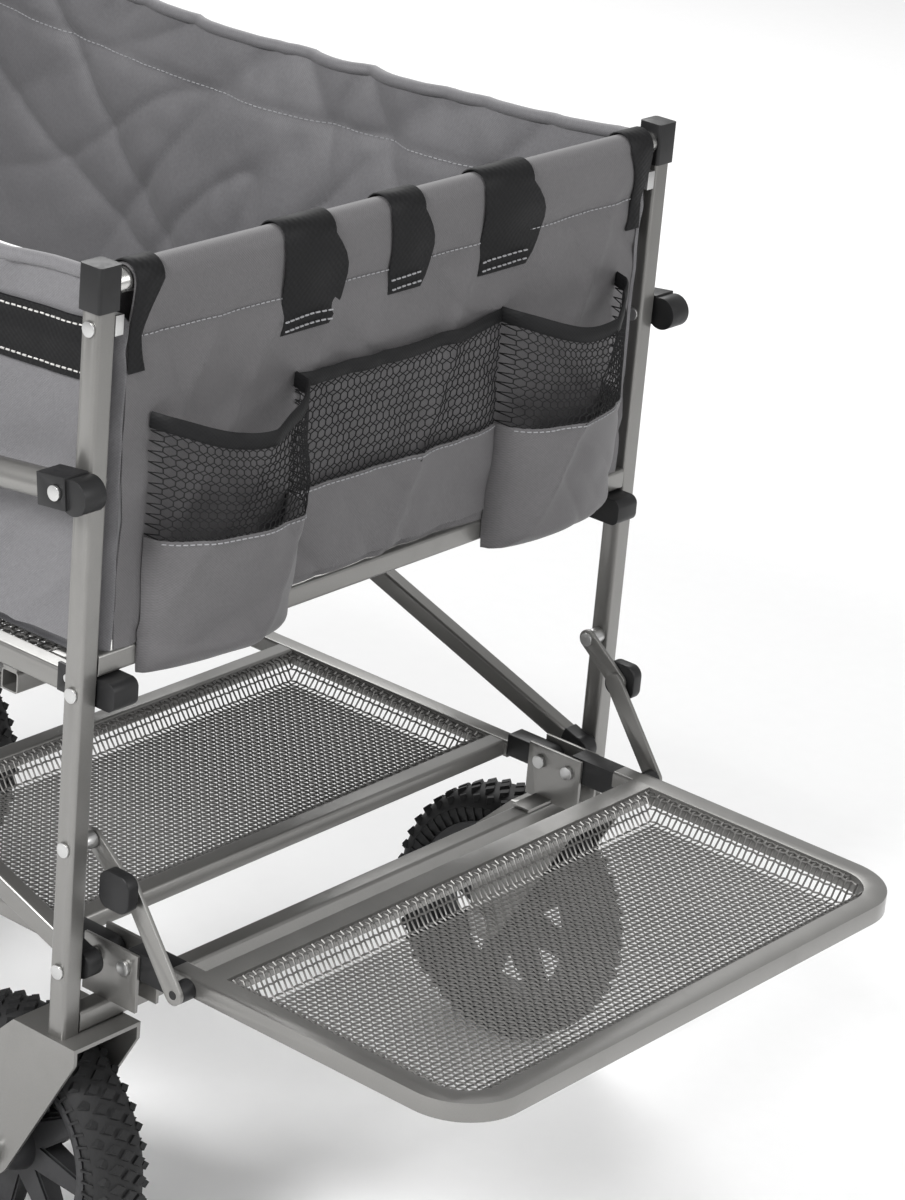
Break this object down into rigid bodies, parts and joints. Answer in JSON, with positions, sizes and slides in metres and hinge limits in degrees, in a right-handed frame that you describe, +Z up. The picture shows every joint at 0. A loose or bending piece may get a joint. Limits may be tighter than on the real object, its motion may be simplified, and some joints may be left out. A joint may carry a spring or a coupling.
{
  "type": "folding wagon with pull handle",
  "caption": "Folding cart: soft tub between end frames, mesh shelf below, fold-up rear platform with stays, swivel front wheels and telescoping pull handle.",
  "frame": {"origin": "on the floor, under the middle of the whole wagon's box", "axes": "+Z up; +X towards the rear platform, so the wagon is pulled towards -X; Y across the wagon"},
  "size_m": [1.0228, 0.6034, 0.7891],
  "materials": {
    "frame_paint": "warm grey metallic paint",
    "bright_tube": "satin bright plated",
    "black_plastic": "fine moulded texture",
    "steel_mesh": "woven wire, satin",
    "zinc_fasteners": "zinc plated",
    "wheel_rim": "satin moulded",
    "tyre": "matt treaded",
    "grey_fabric": "mottled woven polyester",
    "floor_fabric": "woven polyester over board",
    "pocket_mesh": "open knit mesh",
    "soft_grip": "soft matt"
  },
  "bodies": {
    "rear_frame": {"rear_posts": "frame_paint", "rear_caps": "black_plastic", "rear_top_rail": "bright_tube", "rear_cross_tubes": "frame_paint", "rear_forks": "frame_paint", "rear_hinge_brackets": "frame_paint", "rear_pivot_blocks": "black_plastic", "rear_hardware": "zinc_fasteners", "rear_panel": "grey_fabric", "rear_pockets": "pocket_mesh", "side_wall_left": "grey_fabric", "side_wall_right": "grey_fabric"},
    "rear_wheel_left": {"rear_tyre_left": "tyre", "rear_rim_left": "wheel_rim"},
    "rear_wheel_right": {"rear_tyre_right": "tyre", "rear_rim_right": "wheel_rim"},
    "rear_deck": {"rear_deck_frame": "frame_paint", "rear_deck_mesh": "steel_mesh", "rear_floor_pad": "floor_fabric"},
    "front_deck": {"front_deck_frame": "frame_paint", "front_deck_mesh": "steel_mesh", "front_floor_pad": "floor_fabric"},
    "rear_shelf": {"rear_shelf_frame": "frame_paint", "rear_shelf_mesh": "steel_mesh", "rear_shelf_ends": "black_plastic"},
    "front_shelf": {"front_shelf_frame": "frame_paint", "front_shelf_mesh": "steel_mesh", "front_shelf_ends": "black_plastic"},
    "rear_side_links": {"rear_side_rails": "frame_paint", "rear_side_rail_ends": "black_plastic"},
    "front_side_links": {"front_side_rails": "frame_paint", "front_side_rail_ends": "black_plastic"},
    "rear_brace_links": {"rear_braces": "frame_paint", "rear_brace_ends": "black_plastic"},
    "front_brace_links": {"front_braces": "frame_paint", "front_brace_ends": "black_plastic"},
    "platform": {"platform_frame": "frame_paint", "platform_mesh": "steel_mesh", "platform_ends": "black_plastic"},
    "stay_upper": {"stay_upper_links": "frame_paint", "stay_knobs": "black_plastic"},
    "stay_lower": {"stay_lower_links": "frame_paint"},
    "front_frame": {"front_posts": "frame_paint", "front_caps": "black_plastic", "front_top_rail": "bright_tube", "front_cross_tubes": "frame_paint", "front_brackets": "frame_paint", "front_hardware": "zinc_fasteners", "front_pivot_blocks": "black_plastic", "front_panel": "grey_fabric"},
    "caster_left": {"caster_fork_left": "frame_paint"},
    "caster_right": {"caster_fork_right": "frame_paint"},
    "front_wheel_left": {"front_tyre_left": "tyre", "front_rim_left": "wheel_rim"},
    "front_wheel_right": {"front_tyre_right": "tyre", "front_rim_right": "wheel_rim"},
    "handle_outer": {"handle_tube": "frame_paint"},
    "handle_slide_tube": {"handle_inner_tube": "bright_tube", "handle_grip": "soft_grip"},
    "handle_release": {"handle_button": "black_plastic"}
  },
  "joints": [
    {"name": "deck_fold", "type": "hinge", "parent": "rear_frame", "child": "rear_deck", "pos_m": [0.18338, 0, 0.446], "axis": [0, 1, 0], "range_deg": [0, 70], "deforming": ["side_wall_left", "side_wall_right"]},
    {"name": "deck_middle_hinge", "type": "hinge", "parent": "rear_deck", "child": "front_deck", "pos_m": [-0.12662, 0, 0.434], "axis": [0, 1, 0], "range_deg": [-140.01, 0]},
    {"name": "front_frame_pivot", "type": "hinge", "parent": "front_deck", "child": "front_frame", "pos_m": [-0.43662, 0, 0.446], "axis": [0, 1, 0], "range_deg": [0, 70.01]},
    {"name": "rear_shelf_pivot", "type": "hinge", "parent": "rear_frame", "child": "rear_shelf", "pos_m": [0.19738, 0, 0.25], "axis": [0, 1, 0], "range_deg": [0, 70.01]},
    {"name": "front_shelf_pivot", "type": "hinge", "parent": "front_frame", "child": "front_shelf", "pos_m": [-0.42262, 0, 0.25], "axis": [0, 1, 0], "range_deg": [-70.01, 0]},
    {"name": "rear_side_rail_pivot", "type": "hinge", "parent": "rear_frame", "child": "rear_side_links", "pos_m": [0.20338, 0, 0.586], "axis": [0, 1, 0], "range_deg": [-58.86, 0]},
    {"name": "front_side_rail_pivot", "type": "hinge", "parent": "front_frame", "child": "front_side_links", "pos_m": [-0.45662, 0, 0.586], "axis": [0, 1, 0], "range_deg": [0, 58.86]},
    {"name": "rear_brace_pivot", "type": "hinge", "parent": "rear_frame", "child": "rear_brace_links", "pos_m": [0.20338, 0, 0.253], "axis": [0, 1, 0], "range_deg": [0, 47.66]},
    {"name": "front_brace_pivot", "type": "hinge", "parent": "front_frame", "child": "front_brace_links", "pos_m": [-0.45662, 0, 0.253], "axis": [0, 1, 0], "range_deg": [-47.66, 0]},
    {"name": "platform_fold", "type": "hinge", "parent": "rear_frame", "child": "platform", "pos_m": [0.22338, 0, 0.25], "axis": [0, -1, 0], "range_deg": [0, 72]},
    {"name": "stay_upper_pivot", "type": "hinge", "parent": "rear_frame", "child": "stay_upper", "pos_m": [0.20338, 0, 0.3395], "axis": [0, -1, 0], "range_deg": [0, 106.06]},
    {"name": "stay_lower_pivot", "type": "hinge", "parent": "platform", "child": "stay_lower", "pos_m": [0.27678, 0, 0.256], "axis": [0, -1, 0], "range_deg": [-95.01, 0]},
    {"name": "rear_wheel_left_spin", "type": "hinge", "parent": "rear_frame", "child": "rear_wheel_left", "pos_m": [0.15438, -0.2515, 0.1], "axis": [0, 1, 0], "continuous": true},
    {"name": "rear_wheel_right_spin", "type": "hinge", "parent": "rear_frame", "child": "rear_wheel_right", "pos_m": [0.15438, 0.2515, 0.1], "axis": [0, 1, 0], "continuous": true},
    {"name": "caster_left_swivel", "type": "hinge", "parent": "front_frame", "child": "caster_left", "pos_m": [-0.40462, -0.115, 0.206], "axis": [0, 0, 1], "continuous": true},
    {"name": "caster_right_swivel", "type": "hinge", "parent": "front_frame", "child": "caster_right", "pos_m": [-0.40462, 0.115, 0.206], "axis": [0, 0, 1], "continuous": true},
    {"name": "front_wheel_left_spin", "type": "hinge", "parent": "caster_left", "child": "front_wheel_left", "pos_m": [-0.35162, -0.115, 0.1], "axis": [0, 1, 0], "continuous": true},
    {"name": "front_wheel_right_spin", "type": "hinge", "parent": "caster_right", "child": "front_wheel_right", "pos_m": [-0.35162, 0.115, 0.1], "axis": [0, 1, 0], "continuous": true},
    {"name": "handle_pivot", "type": "hinge", "parent": "front_frame", "child": "handle_outer", "pos_m": [-0.49962, 0, 0.214], "axis": [0, -1, 0], "range_deg": [0, 105]},
    {"name": "handle_extend", "type": "slide", "parent": "handle_outer", "child": "handle_slide_tube", "axis": [0.0175, 0, 0.9998], "range_m": [0, 0.25]},
    {"name": "handle_release_press", "type": "slide", "parent": "handle_slide_tube", "child": "handle_release", "axis": [0.9998, 0, -0.0175], "range_m": [0, 0.002], "stiffness_N_per_m": 300, "springref_m": -0.002}
  ],
  "couplings": [
    {"joint": "deck_middle_hinge", "follows": "deck_fold", "ratio": -2},
    {"joint": "front_frame_pivot", "follows": "deck_fold", "ratio": 1},
    {"joint": "rear_shelf_pivot", "follows": "deck_fold", "ratio": 1},
    {"joint": "front_shelf_pivot", "follows": "deck_fold", "ratio": -1},
    {"joint": "rear_side_rail_pivot", "follows": "deck_fold", "ratio": -0.84078},
    {"joint": "front_side_rail_pivot", "follows": "deck_fold", "ratio": 0.84078},
    {"joint": "rear_brace_pivot", "follows": "deck_fold", "ratio": 0.68075},
    {"joint": "front_brace_pivot", "follows": "deck_fold", "ratio": -0.68075},
    {"joint": "stay_upper_pivot", "follows": "platform_fold", "ratio": 1.4729},
    {"joint": "stay_lower_pivot", "follows": "platform_fold", "ratio": -1.3194}
  ]
}
